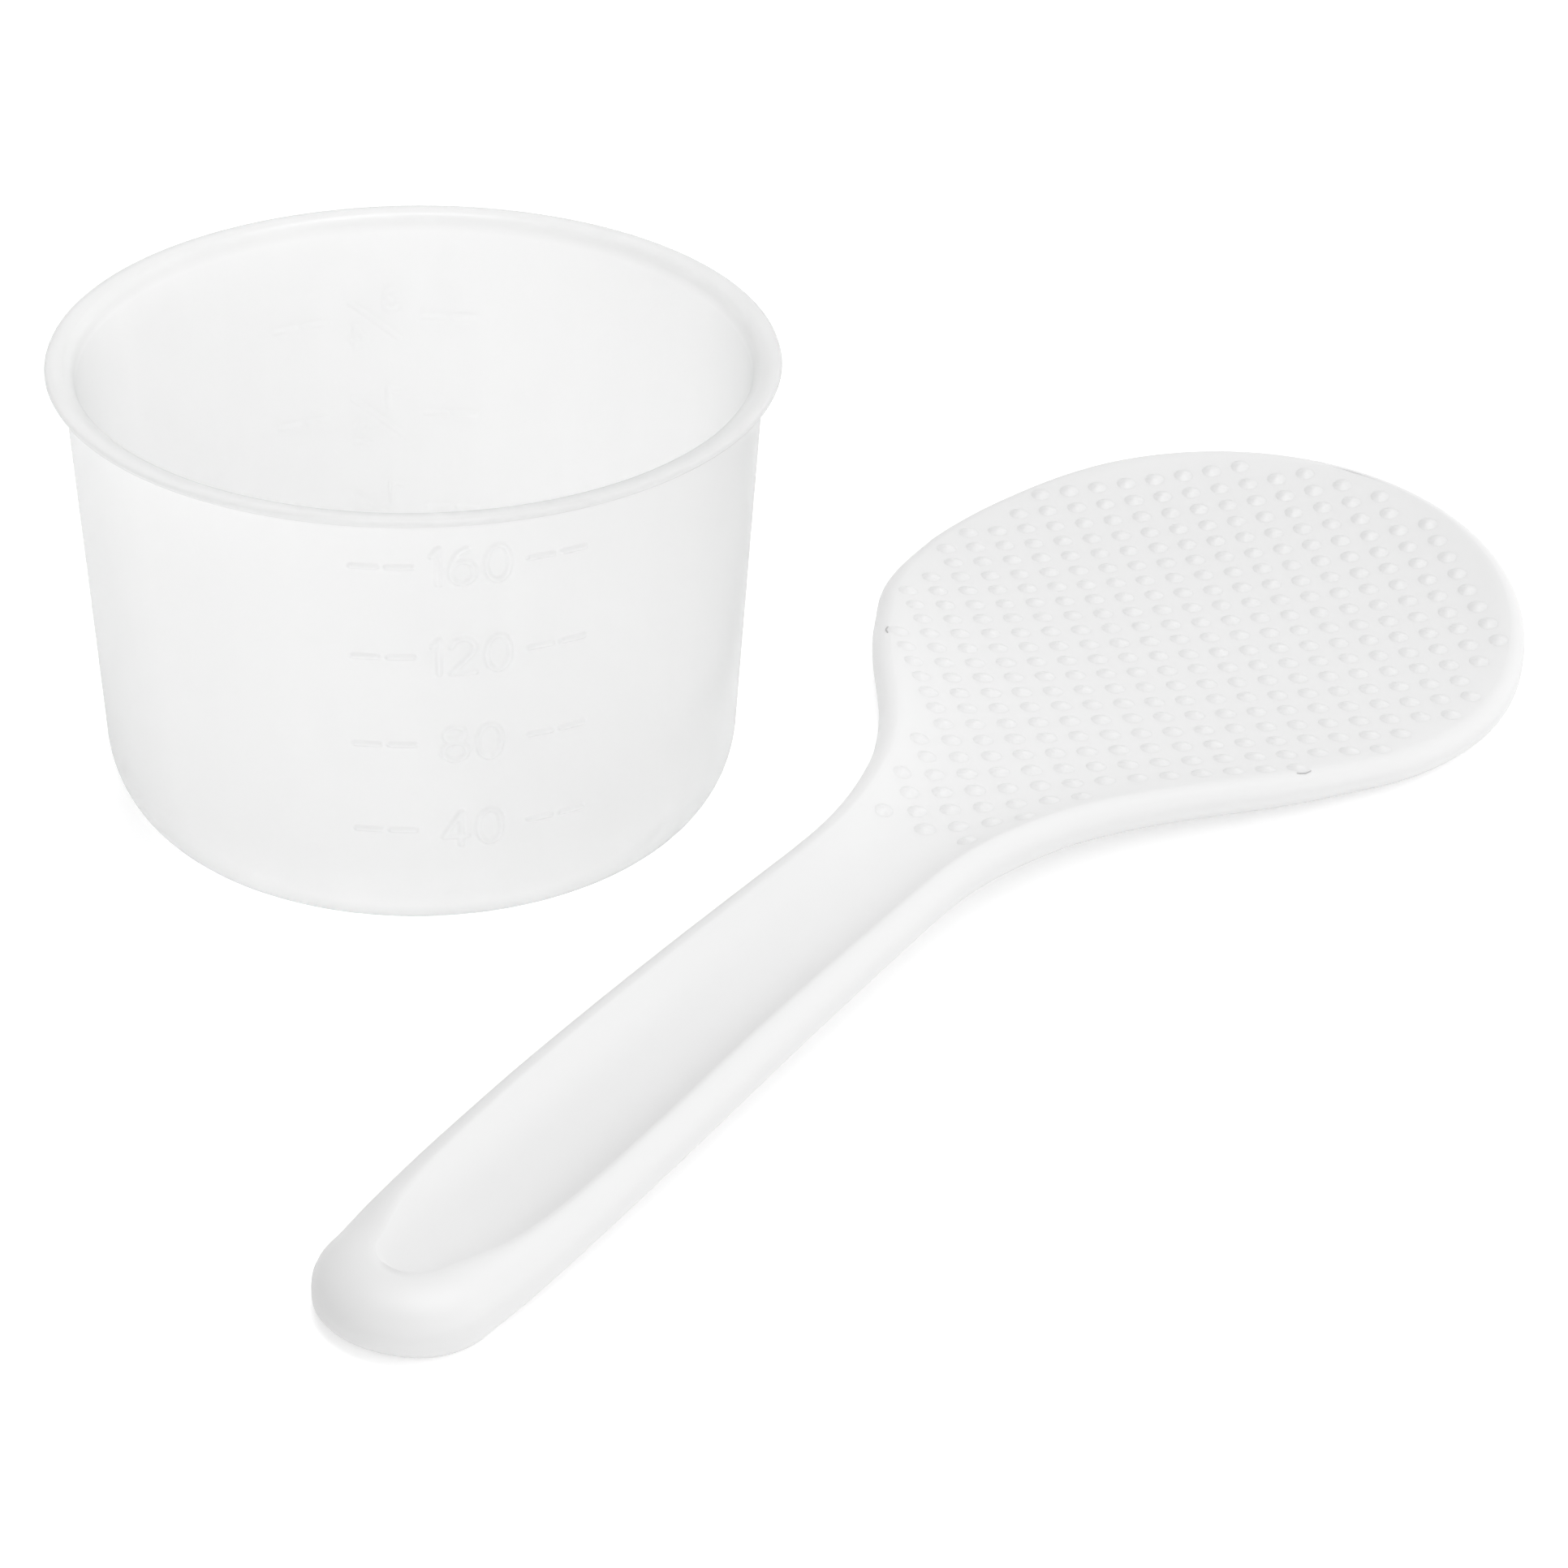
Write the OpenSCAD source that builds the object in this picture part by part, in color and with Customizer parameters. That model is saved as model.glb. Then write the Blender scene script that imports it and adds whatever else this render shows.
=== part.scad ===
// Measuring cup and rice paddle, the accessory set of a rice cooker.
// Millimetres. Origin at the centre of the cup's foot on the table, +Z up, -Y towards the reader.

/* [Measuring cup] */
// outside diameter of the lip
lip_d = 78; // [77:0.5:84]
// height of the cup
cup_h = 52.2; // [51.5:0.1:80]
// wall thickness
cup_wall = 1.3; // [0.8:0.1:2.5]
// floor thickness
cup_floor = 2.2; // [1:0.1:3]
// radius of the flat foot
foot_r = 28.5; // [20:0.5:33]
// outside radius of the wall at the top of the base curve
waist_r = 35.0; // [33:0.1:37]
// height of the base curve
curve_h = 9; // [4:0.5:11]
// outside radius of the wall under the lip
neck_r = 37.1; // [35.5:0.1:38]
// height of the flare from the neck to the lip
lip_h = 2.2; // [2.1:0.1:3.5]
// thickness of the lip
lip_t = 0.9; // [0.7:0.1:1.3]

/* [Scale marks] */
// turn of the front scale from the reader's side
scale_turn = 13.8; // [0:0.1:90]
// width of a moulded line
line_w = 0.5; // [0.2:0.05:0.8]
// how far the marks stand out
mark_out = 0.25; // [0.1:0.05:0.6]
// length of one dash
dash = 3.1; // [1:0.1:6]
// gap between two dashes
dash_gap = 0.5; // [0.2:0.1:2]
// distance of the first dash from the middle of its row
dash_from = 5.7; // [5.5:0.1:9]
// height of a digit
digit_h = 4.6; // [3:0.1:5]
// width of a digit
digit_w = 3; // [2:0.1:3.2]
// gap between two digits
digit_gap = 0.7; // [0.3:0.1:1]
// size of a fraction's digits, as a share of the others
small = 0.57; // [0.4:0.01:0.7]
// height of the 40 ml mark
mark_z = 14.2; // [12:0.1:15.5]
// height between two 40 ml marks
mark_step = 10.6; // [6:0.1:11]
// height of the quarter cup mark on the back
quarter_z = 15.8; // [13:0.1:20]
// height between two quarter cup marks
quarter_step = 11.95; // [9:0.05:14]

/* [Rice paddle] */
// length of the paddle
paddle_l = 203.8; // [195:0.1:230]
// width of the blade
blade_w = 76; // [75:0.5:84]
// distance from the handle end to the widest part of the blade
blade_at = 162; // [158:1:175]
// length of the rounded handle end
end_l = 9; // [5:0.5:14]
// width of the handle behind its rounded end
end_w = 18.4; // [16:0.1:20]
// length of the slope from the handle's top down to its end
nose_l = 6.5; // [3:0.1:9]
// drop of that slope
nose_h = 3.3; // [1:0.1:3.5]
// rounding of the lower edge
edge_r = 1.4; // [0.5:0.1:2]
// direction of the paddle, from +X
paddle_turn = 57.5; // [0:0.5:90]
// distance of the paddle's axis from the cup's axis
paddle_off = 57.4; // [50:0.1:90]
// distance of the handle end from the point of the axis nearest the cup
paddle_back = 85.3; // [60:0.1:100]

/* [Hidden] */
$fn = 96;
cup_col = [0.93, 0.94, 0.94, 0.6];
paddle_col = [0.95, 0.95, 0.95];
lip_r = lip_d / 2;
neck_z = cup_h - lip_h;
wall_tilt = atan((neck_r - waist_r) / (neck_z - curve_h));
sink = 0.5; // how deep the marks reach into the wall
curve_steps = 10;
edge_steps = 4;
top_steps = 8;
// strokes of each digit from 0: top, top right, bottom right, bottom, bottom left, top left, middle
strokes = [[1, 1, 1, 1, 1, 1, 0], [0, 1, 1, 0, 0, 0, 0], [1, 1, 0, 1, 1, 0, 1], [1, 1, 1, 1, 0, 0, 1],
           [0, 1, 1, 0, 0, 1, 1], [1, 0, 1, 1, 0, 1, 1], [1, 0, 1, 1, 1, 1, 1], [1, 1, 1, 0, 0, 0, 0],
           [1, 1, 1, 1, 1, 1, 1], [1, 1, 1, 1, 0, 1, 1]];
// [distance from the handle end, half width], from the rounded end to the widest part
widths = [[end_l, end_w / 2], [16, 9.9], [25, 10.2], [40, 10.2], [60, 9.8], [80, 9.5], [90, 9.4],
          [95, 9.7], [100, 10.5], [105, 11.8], [110, 13.5], [115, 15.9], [120, 18.9], [125, 22.4],
          [130, 26], [135, 29.2], [140, 31.9], [145, 34.5], [150, 36.3], [156, 37.5],
          [blade_at, blade_w / 2]];
// [distance, height of the rim], then of the middle, then of the underside, then the rounding of the rim
rims = [[0, 5.4], [6, 5.8], [12, 5.7], [18, 5.7], [28, 6.1], [40, 6.8], [60, 7.6], [85, 7.7], [100, 7.7],
        [115, 6.9], [130, 5.9], [145, 4.6], [160, 3.6], [175, 3.9], [190, 5.8], [paddle_l, 7.3]];
floors = [[0, 5.4], [6, 5.6], [12, 5.2], [20, 4.6], [28, 4.7], [40, 5.2], [60, 6], [85, 6.3], [100, 6.1],
          [115, 5.6], [130, 4.7], [145, 3.8], [160, 3.3], [175, 3.5], [190, 4.9], [paddle_l, 6.9]];
unders = [[0, 0.9], [4, 0.2], [8, 0], [12, 0.3], [18, 0.9], [28, 1.6], [40, 2.2], [60, 3], [85, 3.6],
          [100, 3.3], [115, 2.5], [130, 1.7], [145, 0.8], [160, 0], [175, 0.4], [190, 2.4],
          [paddle_l, 5.2]];
rolls = [[0, 3.3], [16, 3], [28, 2.5], [60, 2.4], [100, 2.2], [130, 2], [160, 1.8], [paddle_l, 1.2]];

// slope of a table at row i
function slope(t, i) = (t[min(i + 1, len(t) - 1)][1] - t[max(i - 1, 0)][1])
                     / (t[min(i + 1, len(t) - 1)][0] - t[max(i - 1, 0)][0]);
// row of the table below x
function row_of(t, x, i = 0) = i >= len(t) - 2 || x < t[i + 1][0] ? i : row_of(t, x, i + 1);
// smooth curve through a table
function curve(t, x) = let(i = row_of(t, x), h = t[i + 1][0] - t[i][0], u = (x - t[i][0]) / h)
    t[i][1] * (1 + 2 * u) * pow(1 - u, 2) + t[i + 1][1] * u * u * (3 - 2 * u)
    + h * slope(t, i) * u * pow(1 - u, 2) - h * slope(t, i + 1) * u * u * (1 - u);

// outside radius of the cup at height z
function cup_r(z) = z >= curve_h
    ? waist_r + (neck_r - waist_r) * (z - curve_h) / (neck_z - curve_h)
    : foot_r + (waist_r - foot_r) * sqrt(1 - pow(1 - z / curve_h, 2));

// quarter ellipse from the edge of a flat of radius r at height z, wide by high
function quarter(r, z, wide, high) = [for (i = [0:curve_steps]) let(a = 90 * i / curve_steps)
    [r + wide * sin(a), z + high * (1 - cos(a))]];

module cup_body() {
    flat_r = foot_r - 0.6;
    outer = quarter(foot_r, 0, waist_r - foot_r, curve_h);
    inner = quarter(flat_r, cup_floor, waist_r - cup_wall - flat_r, curve_h - cup_floor + 0.6);
    lip = [[neck_r - cup_wall, neck_z], [neck_r - 1, neck_z + 1.2], [neck_r - 0.4, cup_h - 0.15],
           [neck_r + 0.3, cup_h - 0.05], [lip_r - 0.5, cup_h], [lip_r - 0.1, cup_h - 0.2],
           [lip_r, cup_h - 0.5], [lip_r - 0.2, cup_h - lip_t], [neck_r + 0.8, cup_h - lip_t - 0.25],
           [neck_r + 0.2, cup_h - lip_t - 0.7], [neck_r, neck_z]];
    back = [for (i = [curve_steps:-1:0]) outer[i]];
    rotate_extrude() polygon(concat([[0, 0], [0, cup_floor]], inner, lip, back));
}

// one row of four dashes, two each side of the digits, following the wall
module dashes(turn, z) {
    deg = 180 / PI / cup_r(z);
    far = dash + dash_gap;
    for (x = [-dash_from - dash - far, -dash_from - dash, dash_from, dash_from + far])
        rotate([0, 0, turn - 90 + x * deg]) rotate_extrude(angle = dash * deg)
            translate([cup_r(z) - sink, z - line_w / 2]) square([sink + mark_out, line_w]);
}

// raises a flat shape on the wall, x mm along it from the middle of the scale
module on_wall(turn, z, x) {
    rotate([0, 0, turn - 90 + x * 180 / PI / cup_r(z)]) translate([cup_r(z) - sink, 0, z])
        rotate([0, wall_tilt, 0]) rotate([90, 0, 90]) linear_extrude(sink + mark_out) children();
}

module digit(n, w, h) {
    level = [h / 2 - line_w, 0, 0, -h / 2, 0, 0, -line_w / 2];
    for (k = [0, 3, 6]) if (strokes[n][k] == 1)
        translate([-w / 2, level[k]]) square([w, line_w]);
    for (k = [1, 2, 4, 5]) if (strokes[n][k] == 1)
        translate([k < 3 ? w / 2 - line_w : -w / 2, k == 1 || k == 5 ? -line_w / 2 : -h / 2])
            square([line_w, (h + line_w) / 2]);
}

module number(n, turn, z) {
    places = n < 100 ? 2 : 3;
    for (k = [0:places - 1]) on_wall(turn, z, (k - (places - 1) / 2) * (digit_w + digit_gap))
        digit(floor(n / pow(10, places - 1 - k)) % 10, digit_w, digit_h);
}

// two small digits with a slanting line between them
module fraction(top, bottom, turn, z) {
    w = small * digit_w;
    h = small * digit_h;
    on_wall(turn, z + 0.8 * h, -1.3 * w) digit(top, w, h);
    on_wall(turn, z - 0.8 * h, 1.3 * w) digit(bottom, w, h);
    on_wall(turn, z, 0) rotate(atan(h / w) - 15) square([2.5 * h, line_w], center = true);
}

module measuring_cup() {
    color(cup_col) {
        cup_body();
        for (i = [0:3]) {
            dashes(scale_turn, mark_z + i * mark_step);
            number(40 * (i + 1), scale_turn, mark_z + i * mark_step);
        }
        for (i = [0:2]) {
            dashes(scale_turn + 180, quarter_z + i * quarter_step);
            fraction([1, 1, 3][i], [4, 2, 4][i], scale_turn + 180, quarter_z + i * quarter_step);
        }
    }
}

function under(x) = max(0, curve(unders, x));

function half_width(x) = x < end_l ? end_w / 2 * sqrt(max(0, 1 - pow(1 - x / end_l, 2)))
    : x <= blade_at ? curve(widths, x)
    : blade_w / 2 * sqrt(max(0, 1 - pow((x - blade_at) / (paddle_l - blade_at), 2)));

// how far the top has dropped towards the handle's end
function nose(x) = x < nose_l ? nose_h * (1 - sqrt(max(0, 1 - pow(1 - x / nose_l, 2)))) : 0;

// right half of a cross-section: middle of the trough, rim, lower edge, underside
function half_section(x) = let(
        hw = half_width(x), rim = curve(rims, x) - nose(x), mid = curve(floors, x) - nose(x), low = under(x),
        r = min(curve(rolls, x), 0.6 * hw, 0.62 * (rim - low)), e = min(edge_r, 0.3 * hw, 0.36 * (rim - low)),
        flat = hw - r, turn = 90 / edge_steps)
    concat([for (i = [0:top_steps - 1]) let(u = i / top_steps) [flat * u, mid + (rim - mid) * pow(u, 3)]],
           [for (i = [0:edge_steps]) [flat + r * sin(i * turn), rim - r + r * cos(i * turn)]],
           [for (i = [0:edge_steps]) [hw - e + e * cos(i * turn), low + e - e * sin(i * turn)]],
           [[(hw - e) / 2, low]]);

module rice_paddle() {
    near_end = [0.02, 0.15, 0.5, 1.1, 2, 3.2, 4.6, 6.2, 8, 10];
    xs = concat(near_end, [13], [for (x = [16:5:86]) x], [for (x = [90:3:192]) x],
                [for (i = [len(near_end) - 1:-1:0]) paddle_l - near_end[i]]);
    half = [for (x = xs) half_section(x)];
    m = len(half[0]);
    ring = 2 * m;
    // each ring runs down the right side, across the underside and up the left side
    pts = [for (k = [0:len(xs) - 1]) each concat(
        [for (p = half[k]) [xs[k], p[0], p[1]]], [[xs[k], 0, under(xs[k])]],
        [for (i = [m - 1:-1:1]) [xs[k], -half[k][i][0], half[k][i][1]]])];
    last = (len(xs) - 1) * ring;
    sides = [for (k = [0:len(xs) - 2]) for (i = [0:ring - 1])
        let(a = k * ring + i, b = k * ring + (i + 1) % ring)
            each [[a, b, a + ring], [b, b + ring, a + ring]]];
    // each end closes on a point in its middle
    tips = [for (k = [0, len(xs) - 1]) [xs[k], 0, (half[k][0][1] + under(xs[k])) / 2]];
    ends = [for (i = [0:ring - 1]) let(j = (i + 1) % ring)
        each [[len(pts), j, i], [len(pts) + 1, last + i, last + j]]];
    color(paddle_col)
        rotate([0, 0, paddle_turn]) translate([-paddle_back, -paddle_off, 0])
            polyhedron(points = concat(pts, tips), faces = concat(sides, ends), convexity = 6);
}

measuring_cup();
rice_paddle();
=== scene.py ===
import bpy
import bmesh
import math
import numpy as np
from mathutils import Vector, Matrix


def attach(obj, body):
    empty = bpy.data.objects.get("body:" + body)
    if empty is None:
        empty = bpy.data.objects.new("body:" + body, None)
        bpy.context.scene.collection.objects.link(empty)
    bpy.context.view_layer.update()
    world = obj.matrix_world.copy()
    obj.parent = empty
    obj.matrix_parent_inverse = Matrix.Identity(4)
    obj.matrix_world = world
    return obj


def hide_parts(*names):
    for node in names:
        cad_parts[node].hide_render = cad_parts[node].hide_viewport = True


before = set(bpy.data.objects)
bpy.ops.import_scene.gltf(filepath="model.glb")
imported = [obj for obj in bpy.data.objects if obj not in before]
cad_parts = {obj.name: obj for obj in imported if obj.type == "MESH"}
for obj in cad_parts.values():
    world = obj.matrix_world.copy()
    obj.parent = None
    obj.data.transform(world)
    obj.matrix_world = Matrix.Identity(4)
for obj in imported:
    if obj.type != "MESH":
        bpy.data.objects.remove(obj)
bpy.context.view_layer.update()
scene = bpy.context.scene
mm = 0.001


def hexColour(code):
    # sRGB hex to linear
    parts = [int(code[i:i + 2], 16) / 255 for i in (1, 3, 5)]
    return tuple(c / 12.92 if c <= 0.04045 else ((c + 0.055) / 1.055) ** 2.4 for c in parts) + (1,)


def addNode(tree, kind, inputs=None, **settings):
    # inputs: socket name or number -> a constant, a node, or (node, output name)
    made = tree.nodes.new(kind)
    for key, value in settings.items():
        setattr(made, key, value)
    for key, value in (inputs or {}).items():
        socket = made.inputs[key]
        if isinstance(value, bpy.types.Node):
            tree.links.new(value.outputs[0], socket)
        elif isinstance(value, tuple) and isinstance(value[0], bpy.types.Node):
            tree.links.new(value[0].outputs[value[1]], socket)
        else:
            socket.default_value = value
    return made


def newMaterial(name):
    mat = bpy.data.materials.new(name)
    mat.use_nodes = True
    mat.node_tree.nodes.clear()
    return mat, mat.node_tree


def meshObject(name, verts, faces, mat, smooth=True):
    data = bpy.data.meshes.new(name)
    data.from_pydata([tuple(v) for v in verts], [], faces)
    data.validate()
    bm = bmesh.new()
    bm.from_mesh(data)
    bmesh.ops.remove_doubles(bm, verts=bm.verts, dist=2e-7)
    bmesh.ops.recalc_face_normals(bm, faces=bm.faces)
    bm.to_mesh(data)
    bm.free()
    data.polygons.foreach_set("use_smooth", [smooth] * len(data.polygons))
    obj = bpy.data.objects.new(name, data)
    scene.collection.objects.link(obj)
    data.materials.append(mat)
    return obj


def curveThrough(table, x):
    # smooth curve through a table of (place, value)
    n = len(table)
    i = 0
    while i < n - 2 and x >= table[i + 1][0]:
        i += 1

    def slope(k):
        a, b = table[max(k - 1, 0)], table[min(k + 1, n - 1)]
        return (b[1] - a[1]) / (b[0] - a[0])

    h = table[i + 1][0] - table[i][0]
    u = (x - table[i][0]) / h
    return (table[i][1] * (1 + 2 * u) * (1 - u) ** 2 + table[i + 1][1] * u * u * (3 - 2 * u)
            + h * slope(i) * u * (1 - u) ** 2 - h * slope(i + 1) * u * u * (1 - u))


# frosted natural polypropylene: milky, lets soft light through, satin skin
# paintedLipShade: painted shade on the lip, the multiplier its colour falls to between lipShadeFrom and
# lipShadeTo
cupPlastic = dict(body="#FFFFFF", through="#FFFFFF", deep="#DCDEDE", paintedLipShade=0.92, lipShadeFrom=50.2, lipShadeTo=51.2,
                  streakMin=0.985, roughness=0.22, ior=1.49, clear=0.55, glow=0.45)

cupMat, tree = newMaterial("frosted natural polypropylene")
coords = addNode(tree, "ShaderNodeTexCoord")
# faint flow streaks, about 3 mm wide and 30 mm tall
streakMap = addNode(tree, "ShaderNodeMapping", {"Vector": (coords, "Object"), "Scale": (300, 300, 35)})
streaks = addNode(tree, "ShaderNodeTexNoise", {"Vector": streakMap, "Scale": 1.0, "Detail": 3.0,
                                               "Roughness": 0.5})
streakTone = addNode(tree, "ShaderNodeMapRange", {"Value": (streaks, "Fac"), "From Min": 0.3, "From Max": 0.7,
                                                  "To Min": cupPlastic["streakMin"], "To Max": 1.0})
# painted shade: the turned-out lip is darkened, in its colour and in the light it lets through, ramping in
# over its lowest millimetre, so that the lip lit from above is no brighter than the wall
place = addNode(tree, "ShaderNodeSeparateXYZ", {0: (coords, "Object")})
paintedLipShade = addNode(tree, "ShaderNodeMapRange", {"Value": (place, "Z"), "From Min": cupPlastic["lipShadeFrom"] * mm,
                                               "From Max": cupPlastic["lipShadeTo"] * mm,
                                               "To Max": cupPlastic["paintedLipShade"], "To Min": 1.0})
streaksAndLipShade = addNode(tree, "ShaderNodeMath", {0: streakTone, 1: paintedLipShade}, operation="MULTIPLY")
bodyTone = addNode(tree, "ShaderNodeMixRGB", {"Fac": 1.0, "Color1": hexColour(cupPlastic["body"]),
                                              "Color2": streaksAndLipShade}, blend_type="MULTIPLY")
skin = addNode(tree, "ShaderNodeBsdfPrincipled", {"Base Color": bodyTone, "Roughness": cupPlastic["roughness"],
                                                  "IOR": cupPlastic["ior"],
                                                  "Transmission Weight": cupPlastic["clear"]})
# a wall met edge on has more plastic in the way, so less light comes through
edgeOn = addNode(tree, "ShaderNodeLayerWeight", {"Blend": 0.5})
thick = addNode(tree, "ShaderNodeMapRange", {"Value": (edgeOn, "Facing"), "From Min": 0.5, "From Max": 1.0})
depth = addNode(tree, "ShaderNodeMixRGB", {"Fac": thick, "Color1": hexColour(cupPlastic["through"]),
                                           "Color2": hexColour(cupPlastic["deep"])})
# the painted lip shade also darkens the light let through the lip
depthTone = addNode(tree, "ShaderNodeMixRGB", {"Fac": 1.0, "Color1": depth, "Color2": paintedLipShade},
                    blend_type="MULTIPLY")
through = addNode(tree, "ShaderNodeBsdfTranslucent", {"Color": depthTone})
cupMix = addNode(tree, "ShaderNodeMixShader", {0: cupPlastic["glow"], 1: skin, 2: through})
addNode(tree, "ShaderNodeOutputMaterial", {"Surface": cupMix})

# opaque white polypropylene: satin moulded skin with a very fine grain, soft in its shadows
paddlePlastic = dict(body="#D9D9D9", roughness=0.42, roughnessSpread=0.04, ior=1.49,
                     grainMm=0.5, grainDepth=0.02, softWeight=0.15, softMm=1.5)

paddleMat, tree = newMaterial("satin white polypropylene")
coords = addNode(tree, "ShaderNodeTexCoord")
grain = addNode(tree, "ShaderNodeTexNoise", {"Vector": (coords, "Object"),
                                             "Scale": 1000 / paddlePlastic["grainMm"], "Detail": 2.0})
# the gloss drifts a little from place to place, over about 15 mm
wear = addNode(tree, "ShaderNodeTexNoise", {"Vector": (coords, "Object"), "Scale": 60.0, "Detail": 3.0})
roughTone = addNode(tree, "ShaderNodeMapRange",
                    {"Value": (wear, "Fac"), "From Min": 0.3, "From Max": 0.7,
                     "To Min": paddlePlastic["roughness"] - paddlePlastic["roughnessSpread"],
                     "To Max": paddlePlastic["roughness"] + paddlePlastic["roughnessSpread"]})
grainBump = addNode(tree, "ShaderNodeBump", {"Height": (grain, "Fac"), "Strength": 0.06,
                                             "Distance": paddlePlastic["grainDepth"] * mm})
skin = addNode(tree, "ShaderNodeBsdfPrincipled", {"Base Color": hexColour(paddlePlastic["body"]),
                                                  "Roughness": roughTone, "IOR": paddlePlastic["ior"],
                                                  "Subsurface Weight": paddlePlastic["softWeight"],
                                                  "Subsurface Scale": paddlePlastic["softMm"] * mm,
                                                  "Subsurface Radius": (1, 1, 1), "Normal": grainBump})
addNode(tree, "ShaderNodeOutputMaterial", {"Surface": skin})
print("materials made")

# millimetres; reach: columns of wall either side of a scale's middle that carry its marks;
# ghost: height of a back mark on the inside of the wall, as a share of its height outside
cup = dict(height=52.2, lipR=39.0, lipH=2.2, wall=1.3, floor=2.2, footR=28.5, waistR=35.0, curveH=9.0,
           neckR=37.1, columns=240)
marks = dict(turn=13.8, out=0.25, ghost=-0.2, width=0.5, soft=0.16, digitH=4.6, digitW=3.0, oneW=1.2, gap=0.6,
             fractionW=1.75, fractionH=2.5, dash=3.0, dashGap=0.6, dashFrom=5.7, rowHalf=2.7, fractionHalf=3.8,
             firstZ=14.2, stepZ=10.6, quarterZ=15.8, quarterStep=11.95, reach=14)


def bow(cx, cy, rx, ry, a, b, n=10):
    # points of an elliptical arc from angle a to angle b
    turns = [math.radians(a + (b - a) * i / n) for i in range(n + 1)]
    return [(cx + rx * math.cos(t), cy + ry * math.sin(t)) for t in turns]


# middle lines of the strokes in a unit box
glyphs = {
    "0": [bow(.5, .5, .5, .5, 0, 360, 28)],
    "1": [[(0.0, .8), (.9, 1), (.9, 0)]],
    "2": [bow(.5, .72, .48, .28, 170, -38) + [(0, 0), (1, 0)]],
    "3": [bow(.48, .76, .42, .24, 155, -80) + bow(.48, .27, .48, .27, 80, -158)],
    "4": [[(.74, 0), (.74, 1), (0, .27), (1, .27)]],
    "6": [bow(.5, .31, .5, .31, 0, 360, 24), bow(1.0, .32, 1.0, .70, 176, 108, 8)],
    "8": [bow(.5, .27, .5, .27, 0, 360, 22), bow(.5, .78, .42, .22, 0, 360, 20)],
}


def glyphLines(char, x, y, w, h):
    return [[(x + p[0] * w, y + p[1] * h) for p in line] for line in glyphs[char]]


def rowLines(label, m=marks):
    # all stroke lines of one row, millimetres from the middle of the row
    lines = []
    if "/" in label:
        w, h = m["fractionW"], m["fractionH"]
        lines += glyphLines(label[0], -2.25 - w / 2, 2.1 - h / 2, w, h)
        lines += glyphLines(label[2], 1.75 - w / 2, -2.1 - h / 2, w, h)
        lines.append([(-3.1, -2.6), (2.7, 2.2)])
    else:
        widths = [(m["oneW"] if c == "1" else m["digitW"]) for c in label]
        x = -(sum(widths) + m["gap"] * (len(label) - 1)) / 2
        for c, w in zip(label, widths):
            lines += glyphLines(c, x + m["width"] / 2, -m["digitH"] / 2 + m["width"] / 2,
                                w - m["width"], m["digitH"] - m["width"])
            x += w + m["gap"]
    for side in (-1, 1):
        for start in (m["dashFrom"], m["dashFrom"] + m["dash"] + m["dashGap"]):
            lines.append([(side * (start + m["width"] / 2), 0),
                          (side * (start + m["dash"] - m["width"] / 2), 0)])
    return lines


def strokeHeight(lines, u, v, m=marks):
    # height of the raised strokes over the wall at (u, v), 0 away from them
    far = np.full(u.shape, 99.0)
    for line in lines:
        for (ax, ay), (bx, by) in zip(line, line[1:]):
            dx, dy = bx - ax, by - ay
            t = np.clip(((u - ax) * dx + (v - ay) * dy) / (dx * dx + dy * dy + 1e-9), 0, 1)
            far = np.minimum(far, np.hypot(u - ax - t * dx, v - ay - t * dy))
    e = np.clip((m["width"] / 2 + m["soft"] / 2 - far) / m["soft"], 0, 1)
    return m["out"] * e * e * (3 - 2 * e)


def wallR(z, c=cup):
    # outside radius of the wall between the base curve and the lip
    return (c["waistR"] + (c["neckR"] - c["waistR"]) * (z - c["curveH"])
            / (c["height"] - c["lipH"] - c["curveH"]))


def bandEdges(ends, rows):
    # heights that need a point: both ends of a wall and both edges of each row of marks
    return sorted(set(ends + [round(z + s * half, 3) for _, z, _, half in rows for s in (-1, 1)]))


def cupProfile(levels, inLevels, c=cup):
    # half a section, from the middle of the foot round over the lip to the middle of the floor,
    # and where its outside wall and its inside wall start
    top = c["height"] - c["lipH"]
    foot = [(0, 0), (c["footR"] * .5, 0), (c["footR"], 0)]
    foot += [(c["footR"] + (c["waistR"] - c["footR"]) * math.sin(a), c["curveH"] * (1 - math.cos(a)))
             for a in [math.pi / 2 * i / 14 for i in range(1, 14)]]
    outside = [(wallR(z), z) for z in levels]
    lip = [(c["neckR"] + .05, top + .5), (c["neckR"] + .3, top + 1.0), (c["neckR"] + .8, top + 1.2),
           (c["lipR"] - .45, top + 1.35), (c["lipR"] - .12, top + 1.5), (c["lipR"], top + 1.75),
           (c["lipR"] - .1, top + 2.03), (c["lipR"] - .4, top + 2.17), (c["lipR"] - 1.1, top + 2.2),
           (c["neckR"] - .1, top + 2.1), (c["neckR"] - .55, top + 1.92), (c["neckR"] - .95, top + 1.5),
           (c["neckR"] - 1.15, top + .9), (c["neckR"] - c["wall"] + .03, top + .2)]
    inside = [(wallR(z) - c["wall"], z) for z in inLevels]
    inside += [(c["footR"] - .6 + (c["waistR"] - c["wall"] - c["footR"] + .6) * math.sin(a),
                c["floor"] + (c["curveH"] - c["floor"] + .6) * (1 - math.cos(a)))
               for a in [math.pi / 2 * i / 12 for i in range(11, -1, -1)]]
    inside += [(c["footR"] * .5, c["floor"]), (0, c["floor"])]
    return foot + outside + lip + inside, len(foot), len(foot) + len(outside) + len(lip)


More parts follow.
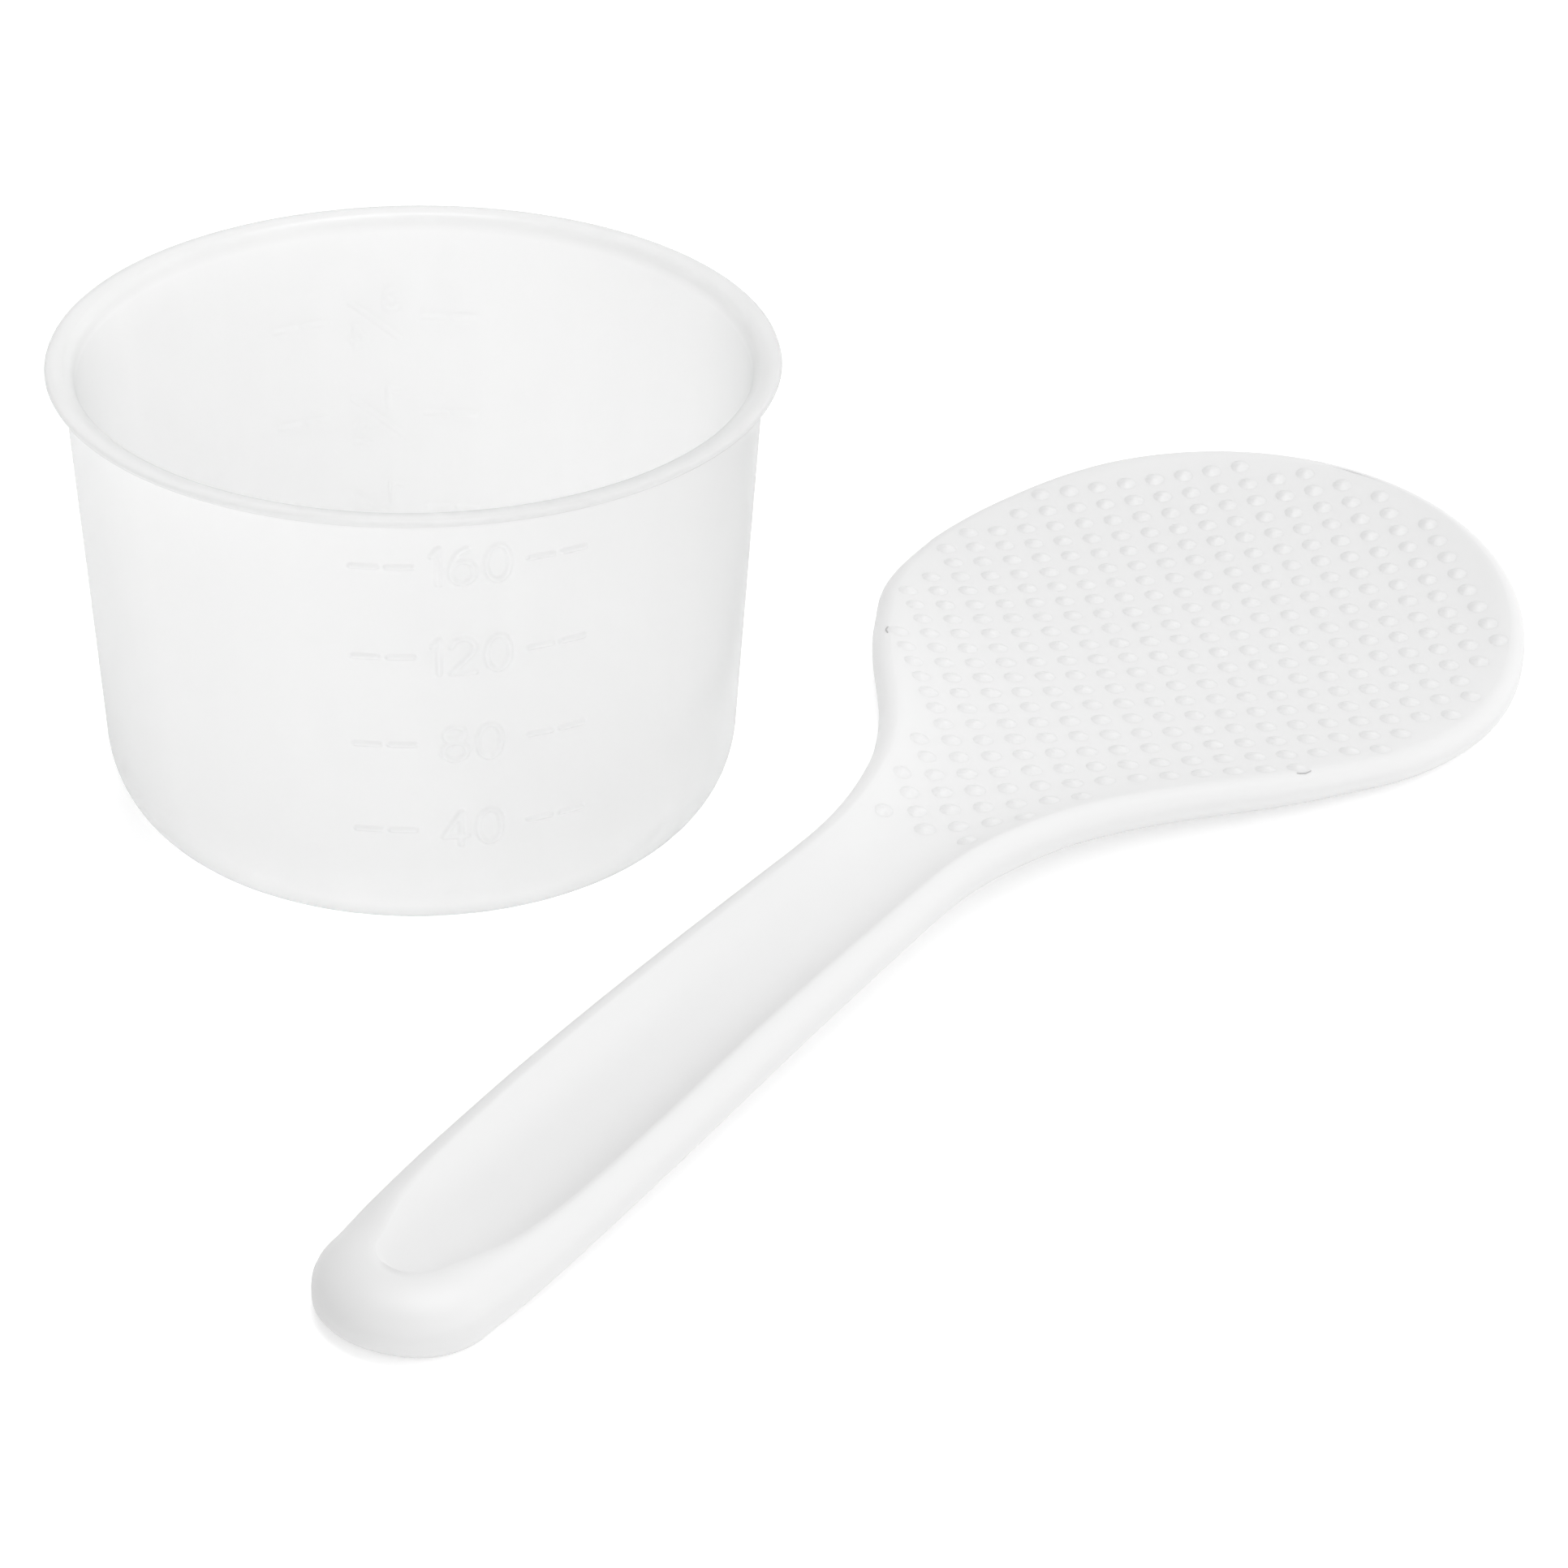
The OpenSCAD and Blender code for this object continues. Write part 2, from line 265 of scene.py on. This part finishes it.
def makeCup(c=cup, m=marks):
    top = c["height"] - c["lipH"]
    rows = [(str(40 * (i + 1)), m["firstZ"] + i * m["stepZ"], m["turn"], m["rowHalf"]) for i in range(4)]
    rows += [(("1/4", "1/2", "3/4")[i], m["quarterZ"] + i * m["quarterStep"], m["turn"] + 180,
              m["fractionHalf"]) for i in range(3)]
    levels = bandEdges([c["curveH"], top], rows)
    # the back marks show faintly on the inside of the wall, from the top down
    inLevels = bandEdges([c["curveH"] + .6, top], rows[4:])[::-1]
    profile, first, firstIn = cupProfile(levels, inLevels)
    n = c["columns"]
    stepDeg = 360 / n
    colFine = 6
    fineStep = 0.15
    rowFine = [1] * len(profile)
    for start, steps in ((first, levels), (firstIn, inLevels)):
        for k in range(len(steps) - 1):
            rowFine[start + k] = max(1, round(abs(steps[k + 1] - steps[k]) / fineStep))
    starts = np.concatenate([[0], np.cumsum(rowFine)])
    windows = {}
    for label, z, turn, half in rows:
        lines = rowLines(label)
        lowEdge, highEdge = round(z - half, 3), round(z + half, 3)
        middle = round(turn / stepDeg)
        spans = [(range(first + levels.index(lowEdge), first + levels.index(highEdge)), 1.0)]
        if turn > 90:
            spans.append((range(firstIn + inLevels.index(highEdge), firstIn + inLevels.index(lowEdge)),
                          m["ghost"]))
        for span, share in spans:
            for col in range(middle - m["reach"], middle + m["reach"]):
                for row in span:
                    windows[(col % n, row)] = (lines, z, turn, share)
    verts, index, spots = [], {}, {}

    def vertex(row, j, col, i):
        # vertex at fine step j of profile row and fine step i of column, made once
        if j >= rowFine[row]:
            row, j = row + 1, 0
        if i >= colFine:
            col, i = col + 1, 0
        key = (int(starts[row]) + j, (col % n) * colFine + i)
        if key not in index:
            (r0, z0), (r1, z1) = profile[row], profile[min(row + 1, len(profile) - 1)]
            u = j / rowFine[row]
            r, z = r0 + (r1 - r0) * u, z0 + (z1 - z0) * u
            index[key] = len(verts)
            verts.append([r, math.radians(key[1] / colFine * stepDeg - 90), z])
        return index[key]

    faces = []
    for (col, row), info in windows.items():
        for j in range(rowFine[row]):
            for i in range(colFine):
                quad = [vertex(row, j, col, i), vertex(row, j, col, i + 1),
                        vertex(row, j + 1, col, i + 1), vertex(row, j + 1, col, i)]
                faces.append(quad)
                for q in quad:
                    spots.setdefault((info[1], info[3]), (info, set()))[1].add(q)
    fine = set(index)
    # the plain faces between take in every fine vertex that lies on their edges
    for row in range(len(profile) - 1):
        low, high = int(starts[row]), int(starts[row + 1])
        for col in range(n):
            if (col, row) in windows:
                continue
            left, right = col * colFine, ((col + 1) % n) * colFine
            loop = [vertex(row, 0, col, i) for i in range(colFine) if i == 0 or (low, left + i) in fine]
            loop += [vertex(row, j, col, colFine) for j in range(rowFine[row])
                     if j == 0 or (low + j, right) in fine]
            loop += [vertex(row, rowFine[row], col, i) for i in range(colFine, 0, -1)
                     if i == colFine or (high, left + i) in fine]
            loop += [vertex(row, j, col, 0) for j in range(rowFine[row], 0, -1)
                     if j == rowFine[row] or (low + j, left) in fine]
            faces.append(loop)
    # radius, turn and height of every vertex; the strokes are pushed out square to the wall
    spot = np.array(verts)
    tilt = math.atan((c["neckR"] - c["waistR"]) / (top - c["curveH"]))
    for (lines, z, turn, share), members in spots.values():
        ids = np.array(sorted(members))
        turned = (np.degrees(spot[ids, 1]) + 90 - turn + 180) % 360 - 180
        raised = share * strokeHeight(lines, np.radians(turned) * wallR(z), spot[ids, 2] - z)
        spot[ids, 0] += raised * math.cos(tilt)
        spot[ids, 2] -= raised * math.sin(tilt)
    xyz = np.stack([spot[:, 0] * np.cos(spot[:, 1]), spot[:, 0] * np.sin(spot[:, 1]), spot[:, 2]], 1) * mm
    clean = [[q for k, q in enumerate(f) if q != f[k - 1]] for f in faces]
    return meshObject("measuringCup", xyz, clean, cupMat)


cupObj = makeCup()
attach(cupObj, "cup")
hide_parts("measuring_cup")
print("cup made", len(cupObj.data.polygons))

# millimetres; tables are (distance from the handle end, value)
paddle = dict(
    length=203.8, bladeHalf=38.0, bladeAt=162.0, endLong=9.0, endHalf=9.2, turn=57.5, off=57.4, back=85.3,
    widths=[(9, 9.2), (16, 9.9), (25, 10.2), (40, 10.2), (60, 9.8), (80, 9.5), (90, 9.4), (95, 9.7),
            (100, 10.5), (105, 11.8), (110, 13.5), (115, 15.9), (120, 18.9), (125, 22.4), (130, 26),
            (135, 29.2), (140, 31.9), (145, 34.5), (150, 36.3), (156, 37.5), (162, 38)],
    rims=[(0, 5.4), (6, 5.8), (12, 5.7), (18, 5.7), (28, 6.1), (40, 6.8), (60, 7.6), (85, 7.7),
          (100, 7.7), (115, 6.9), (130, 5.9), (145, 4.6), (160, 3.6), (175, 3.9), (190, 5.8),
          (203.8, 7.3)],
    floors=[(0, 5.4), (6, 5.6), (12, 5.2), (20, 4.6), (28, 4.7), (40, 5.2), (60, 6), (85, 6.3),
            (100, 6.1), (115, 5.6), (130, 4.7), (145, 3.8), (160, 3.3), (175, 3.5), (190, 4.9),
            (203.8, 7.3)],
    unders=[(0, 0.9), (4, 0.2), (8, 0), (12, 0.3), (18, 0.9), (28, 1.6), (40, 2.2), (60, 3), (85, 3.6),
            (100, 3.3), (115, 2.5), (130, 1.7), (145, 0.8), (160, 0), (175, 0.4), (190, 2.4),
            (203.8, 5.2)],
    rollIn=[(0, 6.5), (8, 5.5), (16, 3.6), (28, 2.8), (60, 2.6), (85, 2.5), (100, 2.4), (130, 2.2),
            (160, 2.2), (185, 1.9), (203.8, 1.6)],
    rollDown=[(0, 3.4), (16, 3), (28, 2.5), (60, 2.4), (100, 2.2), (130, 1.9), (160, 1.7), (203.8, 1.2)],
    underRound=[(0, 1.2), (60, 1.4), (100, 1.8), (115, 2.6), (140, 2.6), (160, 1.7), (203.8, 0.8)])

# from the paddle's own axes, +X along it from the handle end, to where it lies
paddleFrame = (Matrix.Rotation(math.radians(paddle["turn"]), 4, "Z")
               @ Matrix.Translation((-paddle["back"] * mm, -paddle["off"] * mm, 0)))


def halfWidth(x, p=paddle):
    if x < p["endLong"]:
        return p["endHalf"] * math.sqrt(max(0, 1 - (1 - x / p["endLong"]) ** 2))
    if x <= p["bladeAt"]:
        return curveThrough(p["widths"], x)
    return p["bladeHalf"] * math.sqrt(max(0, 1 - ((x - p["bladeAt"]) / (p["length"] - p["bladeAt"])) ** 2))


def paddleOutline(p=paddle):
    # one side of the outline, from the handle end to the tip, and its outward directions
    xs = [p["endLong"] * (1 - math.cos(math.pi / 2 * i / 16)) for i in range(16)]
    xs += [p["endLong"] + (p["bladeAt"] - p["endLong"]) * i / 150 for i in range(150)]
    xs += [p["bladeAt"] + (p["length"] - p["bladeAt"]) * math.sin(math.pi / 2 * i / 60) for i in range(61)]
    line = [(x, halfWidth(x)) for x in xs]
    line[0], line[-1] = (0, 0), (p["length"], 0)
    normals = []
    for i in range(len(line)):
        a = line[i - 1] if i else (line[1][0], -line[1][1])
        b = line[i + 1] if i < len(line) - 1 else (line[-2][0], -line[-2][1])
        d = Vector((b[0] - a[0], b[1] - a[1])).normalized()
        normals.append(Vector((-d.y, d.x)))
    return line, normals


def under(x, p=paddle):
    return max(0, curveThrough(p["unders"], x))


def makePaddle(p=paddle):
    line, normals = paddleOutline()
    verts, rings = [], []
    topSteps, arcSteps, lowSteps = 20, 10, 5
    leastEdge = .05  # least upright part of the edge between its two roundings

    def put(x, y, z):
        verts.append(paddleFrame @ Vector((x * mm, y * mm, z * mm)))
        return len(verts) - 1

    for (x0, w0), out in zip(line, normals):
        wide, down, ru = (curveThrough(p[name], x0) for name in ("rollIn", "rollDown", "underRound"))
        cut = min(1, (curveThrough(p["rims"], x0) - under(x0) - leastEdge) / (down + ru))
        down, ru = down * cut, ru * cut
        half = []
        # the trough, from its middle out to the rim
        tx, tw = x0 - out.x * wide, max(0, w0 - out.y * wide)
        mid, top = curveThrough(p["floors"], tx), curveThrough(p["rims"], tx)
        for i in range(topSteps):
            s = i / topSteps
            half.append((tx, tw * s, mid + (top - mid) * s ** 3))
        # over the rim
        for i in range(arcSteps + 1):
            a = math.pi / 2 * i / arcSteps
            d = wide * (1 - math.sin(a))
            half.append((x0 - out.x * d, max(0, w0 - out.y * d), top - down * (1 - math.cos(a))))
        # round the lower edge and in along the underside
        ux, uw = x0 - out.x * ru, max(0, w0 - out.y * ru)
        base = under(ux)
        for i in range(arcSteps + 1):
            a = math.pi / 2 * i / arcSteps
            d = ru * (1 - math.cos(a))
            half.append((x0 - out.x * d, max(0, w0 - out.y * d), base + ru * (1 - math.sin(a))))
        for i in range(1, lowSteps):
            half.append((ux, uw * (1 - i / lowSteps), base))
        rings.append([put(*q) for q in half] + [put(ux, 0, base)]
                     + [put(q[0], -q[1], q[2]) for q in reversed(half[1:])])
    faces = []
    for a, b in zip(rings, rings[1:]):
        for i in range(len(a)):
            j = (i + 1) % len(a)
            faces.append([a[i], a[j], b[j], b[i]])
    return meshObject("ricePaddle", verts, faces, paddleMat)


paddleObj = makePaddle()

# millimetres; margin and neckMargin: plain strip inside the outline of the blade and of the neck
nubs = dict(pitch=5.256, rowStep=2.628, across=2.8, height=0.3, foot=0.05, margin=3.1, neckMargin=4.4,
            start=97, neckEnd=136.0, neckBlend=6, middle=162.5, columns=17, rowPairs=21, seed=3)


def storeRoom(obj, n=nubs):
    # room for a nub at each point: distance from the outline less the plain strip
    outlineFrom, nowhere = 60, -9.0
    line = [q for q in paddleOutline()[0] if q[0] > outlineFrom]
    line = np.array(line + [(x, -w) for x, w in line])
    back = paddleFrame.inverted()
    values = []
    for v in obj.data.vertices:
        q = back @ v.co * 1000
        gap = float(np.min(np.hypot(line[:, 0] - q.x, line[:, 1] - q.y)))
        blend = min(1, max(0, (q.x - n["neckEnd"] + n["neckBlend"]) / n["neckBlend"]))
        room = gap - n["neckMargin"] - (n["margin"] - n["neckMargin"]) * blend
        values.append(room if q.x > n["start"] else nowhere)
    layer = obj.data.attributes.new("room", "FLOAT", "POINT")
    layer.data.foreach_set("value", values)


storeRoom(paddleObj)


def domeMesh(n=nubs):
    # rounded bump whose foot runs on under the blade's surface, closed underneath
    sides, levels = 12, 6
    verts, faces = [(0, 0, n["height"] * mm)], []
    for k in range(1, levels + 1):
        r = n["across"] / 2 * k / (levels - 1)
        z = n["height"] * (0.5 + 0.5 * math.cos(math.pi * min(1, k / (levels - 1))))
        z -= n["foot"] * max(0, k - levels + 2)
        verts += [(r * math.cos(2 * math.pi * i / sides) * mm, r * math.sin(2 * math.pi * i / sides) * mm,
                   z * mm) for i in range(sides)]
    verts.append((0, 0, -0.25 * mm))
    outer = 1 + (levels - 1) * sides
    for i in range(sides):
        j = (i + 1) % sides
        faces.append([0, 1 + i, 1 + j])
        for k in range(levels - 1):
            a = 1 + k * sides
            faces.append([a + i, a + sides + i, a + sides + j, a + j])
        faces.append([outer + j, outer + i, len(verts) - 1])
    return meshObject("nubDome", verts, faces, paddleMat)


dome = domeMesh()
tree = bpy.data.node_groups.new("nubField", "GeometryNodeTree")
sockets = {}
for label, kind in (("Geometry", "Geometry"), ("Paddle", "Object"), ("Nub", "Object"), ("Pitch", "Float"),
                    ("Row Step", "Float"), ("Seed", "Int"), ("Material", "Material")):
    sockets[label] = tree.interface.new_socket(label, in_out="INPUT", socket_type="NodeSocket" + kind)
tree.interface.new_socket("Geometry", in_out="OUTPUT", socket_type="NodeSocketGeometry")
given = addNode(tree, "NodeGroupInput")
# one grid of points for even rows and one, shifted half a step both ways, for odd rows
doubleRow = addNode(tree, "ShaderNodeMath", {0: (given, "Row Step"), 1: 2.0}, operation="MULTIPLY")
sizeX = addNode(tree, "ShaderNodeMath", {0: doubleRow, 1: nubs["rowPairs"] - 1.0}, operation="MULTIPLY")
sizeY = addNode(tree, "ShaderNodeMath", {0: (given, "Pitch"), 1: nubs["columns"] - 1.0}, operation="MULTIPLY")
evenRows = addNode(tree, "GeometryNodeMeshGrid", {"Size X": sizeX, "Size Y": sizeY,
                                                  "Vertices X": nubs["rowPairs"],
                                                  "Vertices Y": nubs["columns"]})
halfY = addNode(tree, "ShaderNodeMath", {0: (given, "Pitch"), 1: 0.5}, operation="MULTIPLY")
shift = addNode(tree, "ShaderNodeCombineXYZ", {"X": (given, "Row Step"), "Y": halfY})
oddRows = addNode(tree, "GeometryNodeTransform", {"Geometry": (evenRows, "Mesh"), "Translation": shift})
bothRows = addNode(tree, "GeometryNodeJoinGeometry")
tree.links.new(evenRows.outputs["Mesh"], bothRows.inputs[0])
tree.links.new(oddRows.outputs["Geometry"], bothRows.inputs[0])
# the grid starts 50 mm above the table
gridSpot = paddleFrame @ Vector(((nubs["middle"] - 4 * nubs["rowStep"]) * mm, 0, 0.05))
laid = addNode(tree, "GeometryNodeTransform", {"Geometry": bothRows, "Translation": gridSpot,
                                               "Rotation": (0, 0, math.radians(paddle["turn"]))})
target = addNode(tree, "GeometryNodeObjectInfo", {"Object": (given, "Paddle")})
roomName = addNode(tree, "GeometryNodeInputNamedAttribute", {"Name": "room"}, data_type="FLOAT")
cast = addNode(tree, "GeometryNodeRaycast", {"Target Geometry": (target, "Geometry"), "Attribute": roomName,
                                             "Ray Direction": (0, 0, -1), "Ray Length": 0.1},
               data_type="FLOAT")
# everything is read while the points are still above the blade, then they drop onto it
upright = addNode(tree, "FunctionNodeAlignRotationToVector", {"Vector": (cast, "Hit Normal")}, axis="Z")
noRoom = addNode(tree, "FunctionNodeCompare", {"A": (cast, "Attribute"), "B": 0.0},
                 data_type="FLOAT", operation="LESS_THAN")
missed = addNode(tree, "FunctionNodeBooleanMath", {0: (cast, "Is Hit")}, operation="NOT")
unwanted = addNode(tree, "FunctionNodeBooleanMath", {0: noRoom, 1: missed}, operation="OR")
turned = addNode(tree, "GeometryNodeStoreNamedAttribute",
                 {"Geometry": laid, "Name": "nubTurn", "Value": upright},
                 data_type="QUATERNION", domain="POINT")
marked = addNode(tree, "GeometryNodeStoreNamedAttribute",
                 {"Geometry": turned, "Name": "unwanted", "Value": unwanted},
                 data_type="BOOLEAN", domain="POINT")
dropped = addNode(tree, "GeometryNodeSetPosition", {"Geometry": marked, "Position": (cast, "Hit Position")})
unwantedName = addNode(tree, "GeometryNodeInputNamedAttribute", {"Name": "unwanted"}, data_type="BOOLEAN")
kept = addNode(tree, "GeometryNodeDeleteGeometry", {"Geometry": dropped, "Selection": unwantedName},
               domain="POINT")
nubSource = addNode(tree, "GeometryNodeObjectInfo", {"Object": (given, "Nub")})
turnName = addNode(tree, "GeometryNodeInputNamedAttribute", {"Name": "nubTurn"}, data_type="QUATERNION")
# no two nubs quite the same size
sizes = addNode(tree, "FunctionNodeRandomValue", {"Min": (0.97, 0.97, 0.94), "Max": (1.03, 1.03, 1.06),
                                                  "Seed": (given, "Seed")}, data_type="FLOAT_VECTOR")
onPoints = addNode(tree, "GeometryNodeInstanceOnPoints", {"Points": kept, "Instance": (nubSource, "Geometry"),
                                                          "Rotation": turnName, "Scale": sizes})
real = addNode(tree, "GeometryNodeRealizeInstances", {"Geometry": onPoints})
painted = addNode(tree, "GeometryNodeSetMaterial", {"Geometry": real, "Material": (given, "Material")})
addNode(tree, "NodeGroupOutput", {0: painted})

carrier = bpy.data.objects.new("nubCarrier", bpy.data.meshes.new("nubCarrier"))
scene.collection.objects.link(carrier)
field = carrier.modifiers.new("nubs", "NODES")
field.node_group = tree
for label, value in (("Paddle", paddleObj), ("Nub", dome), ("Pitch", nubs["pitch"] * mm),
                     ("Row Step", nubs["rowStep"] * mm), ("Seed", nubs["seed"]), ("Material", paddleMat)):
    field[sockets[label].identifier] = value
bpy.context.view_layer.update()
plain = bpy.data.meshes.new_from_object(carrier.evaluated_get(bpy.context.evaluated_depsgraph_get()))
plain.name = "paddleNubs"
for name in ("nubTurn", "unwanted"):
    if name in plain.attributes:
        plain.attributes.remove(plain.attributes[name])
plain.polygons.foreach_set("use_smooth", [True] * len(plain.polygons))
nubObj = bpy.data.objects.new("paddleNubs", plain)
scene.collection.objects.link(nubObj)
bpy.data.objects.remove(carrier)
bpy.data.objects.remove(dome)
for obj in (paddleObj, nubObj):
    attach(obj, "paddle")
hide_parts("rice_paddle")
print("paddle made", len(paddleObj.data.polygons), "nub faces", len(plain.polygons))

# the glow keeps the open floor a clean white; openGlow is seen by the camera only and lights nothing
stageLook = dict(floor="#F2F2F2", glow=0.17, openGlow=0.15, right=0.96, back=0.74, front=1.09, above=0.26,
                 topWatts=7.2)

# matte white card: even, no shine, a faint fibre
floorMat, tree = newMaterial("matte white card")
coords = addNode(tree, "ShaderNodeTexCoord")
fibre = addNode(tree, "ShaderNodeTexNoise", {"Vector": (coords, "Object"), "Scale": 700.0, "Detail": 2.0})
fibreTone = addNode(tree, "ShaderNodeMapRange", {"Value": (fibre, "Fac"), "To Min": 0.99, "To Max": 1.0})
cardTone = addNode(tree, "ShaderNodeMixRGB", {"Fac": 1.0, "Color1": hexColour(stageLook["floor"]),
                                              "Color2": fibreTone}, blend_type="MULTIPLY")
card = addNode(tree, "ShaderNodeBsdfDiffuse", {"Color": cardTone, "Roughness": 0.5})
seen = addNode(tree, "ShaderNodeLightPath")
lift = addNode(tree, "ShaderNodeMath", {0: (seen, "Is Camera Ray"), 1: stageLook["openGlow"],
                                        2: stageLook["glow"]}, operation="MULTIPLY_ADD")
glow = addNode(tree, "ShaderNodeEmission", {"Color": (1, 1, 1, 1), "Strength": lift})
both = addNode(tree, "ShaderNodeAddShader", {0: card, 1: glow})
addNode(tree, "ShaderNodeOutputMaterial", {"Surface": both})
floor = meshObject("floor", [(-3, -3, 0), (3, -3, 0), (3, 3, 0), (-3, 3, 0)], [[0, 1, 2, 3]], floorMat,
                   smooth=False)

world = bpy.data.worlds.new("studio")
scene.world = world
world.use_nodes = True
world.node_tree.nodes.clear()
tree = world.node_tree
# soft room light from the right, back, front and above, and none from the left
around = addNode(tree, "ShaderNodeTexCoord")
sides = addNode(tree, "ShaderNodeSeparateXYZ", {0: (around, "Generated")})
skyTone = 0.0
for axis, weight in (("X", stageLook["right"]), ("Y", stageLook["back"]), ("Y", -stageLook["front"]),
                     ("Z", stageLook["above"])):
    side = addNode(tree, "ShaderNodeMath", {0: (sides, axis), 1: weight}, operation="MULTIPLY")
    lit = addNode(tree, "ShaderNodeMath", {0: side, 1: 0.0}, operation="MAXIMUM")
    skyTone = addNode(tree, "ShaderNodeMath", {0: skyTone, 1: lit}, operation="ADD")
sky = addNode(tree, "ShaderNodeBackground", {"Color": (1, 1, 1, 1), "Strength": skyTone})
addNode(tree, "ShaderNodeOutputWorld", {"Surface": sky})


def softBox(name, place, aim, size, power):
    data = bpy.data.lights.new(name, "AREA")
    data.shape = "RECTANGLE"
    data.size, data.size_y = size
    data.energy = power
    obj = bpy.data.objects.new(name, data)
    obj.location = place
    obj.rotation_euler = (Vector(aim) - Vector(place)).to_track_quat("-Z", "Y").to_euler()
    scene.collection.objects.link(obj)


softBox("topBox", (0.10, 0.15, 1.2), (0.03, 0, 0.02), (0.8, 0.6), stageLook["topWatts"])

# 93 mm lens on a 36 mm sensor, looking 31 degrees down, turned 1.8 degrees about its own axis
cameraSet = dict(lens=93.17, sensor=36, place=(0.04059, -0.39134, 0.23903), lookDown=31.449, roll=1.814)
view = bpy.data.cameras.new("camera")
view.lens, view.sensor_width, view.clip_start, view.clip_end = cameraSet["lens"], cameraSet["sensor"], 0.05, 20
camera = bpy.data.objects.new("camera", view)
camera.matrix_world = (Matrix.Translation(cameraSet["place"])
                       @ Matrix.Rotation(math.radians(90 - cameraSet["lookDown"]), 4, "X")
                       @ Matrix.Rotation(math.radians(cameraSet["roll"]), 4, "Z"))
scene.collection.objects.link(camera)
scene.camera = camera
scene.view_settings.view_transform = "Standard"
# light crosses many milky walls before it dies out
scene.cycles.max_bounces, scene.cycles.diffuse_bounces, scene.cycles.transmission_bounces = 48, 24, 48
print("stage set")
